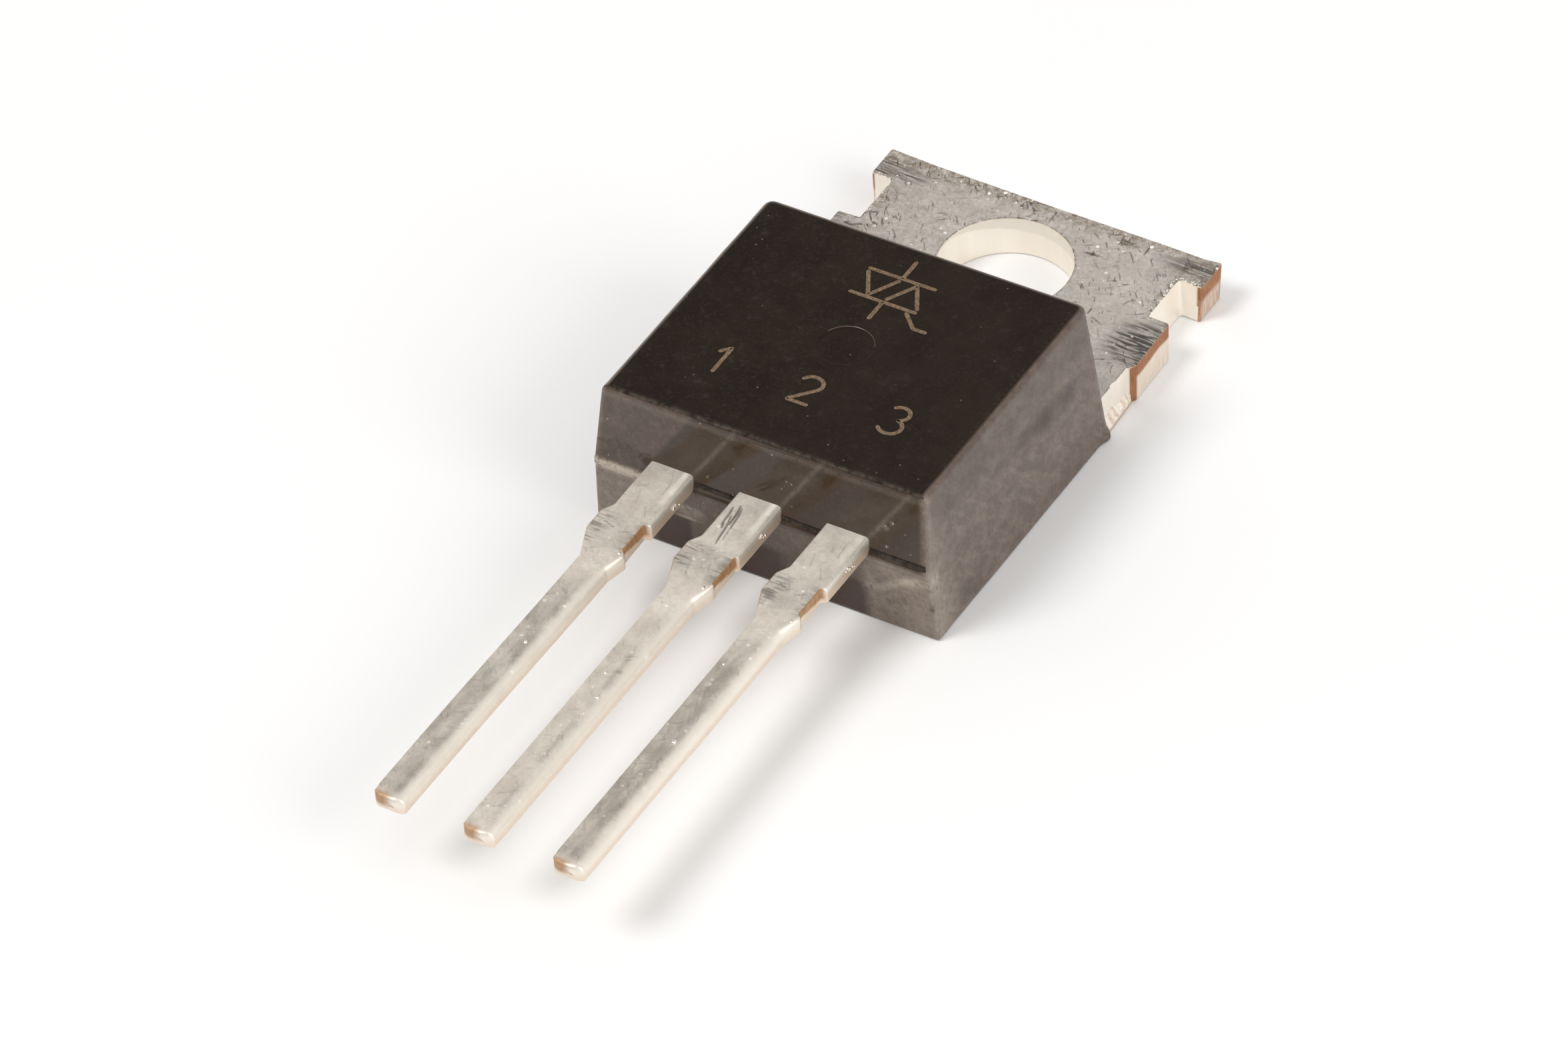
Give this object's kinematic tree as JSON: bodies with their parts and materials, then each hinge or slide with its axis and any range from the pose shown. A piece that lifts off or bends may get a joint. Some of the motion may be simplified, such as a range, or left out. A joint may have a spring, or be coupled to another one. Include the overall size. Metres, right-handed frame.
{
  "type": "triac",
  "caption": "Power triac in a flat moulded package with a screw-mounted metal tab at one end and straight leads in a row at the other.",
  "frame": {"origin": "on the axis of the mounting hole, at the tab's back face", "axes": "+Z out of the marked face, away from the surface that the back lies on; +Y from the leads to the tab, along the part; +X to the right when the marked face is read with the leads pointing down"},
  "size_m": [0.0102, 0.0283, 0.0045],
  "materials": {
    "epoxy": "black filled epoxy, semi-matt",
    "tinned_tab": "dull tin plate over copper, scuffed",
    "tinned_lead": "dull tin plate over copper",
    "silicon": "grey silicon with metallised contacts",
    "solder": "dull soft solder",
    "aluminium_wire": "drawn aluminium wire"
  },
  "bodies": {
    "root": {"moulded_body": "epoxy", "heatsink_tab": "tinned_tab", "main_terminal_1_lead": "tinned_lead", "gate_lead": "tinned_lead", "triac_die": "silicon", "die_attach_solder": "solder", "main_terminal_bond_wire_1": "aluminium_wire", "main_terminal_bond_wire_2": "aluminium_wire", "gate_bond_wire": "aluminium_wire"}
  },
  "joints": []
}
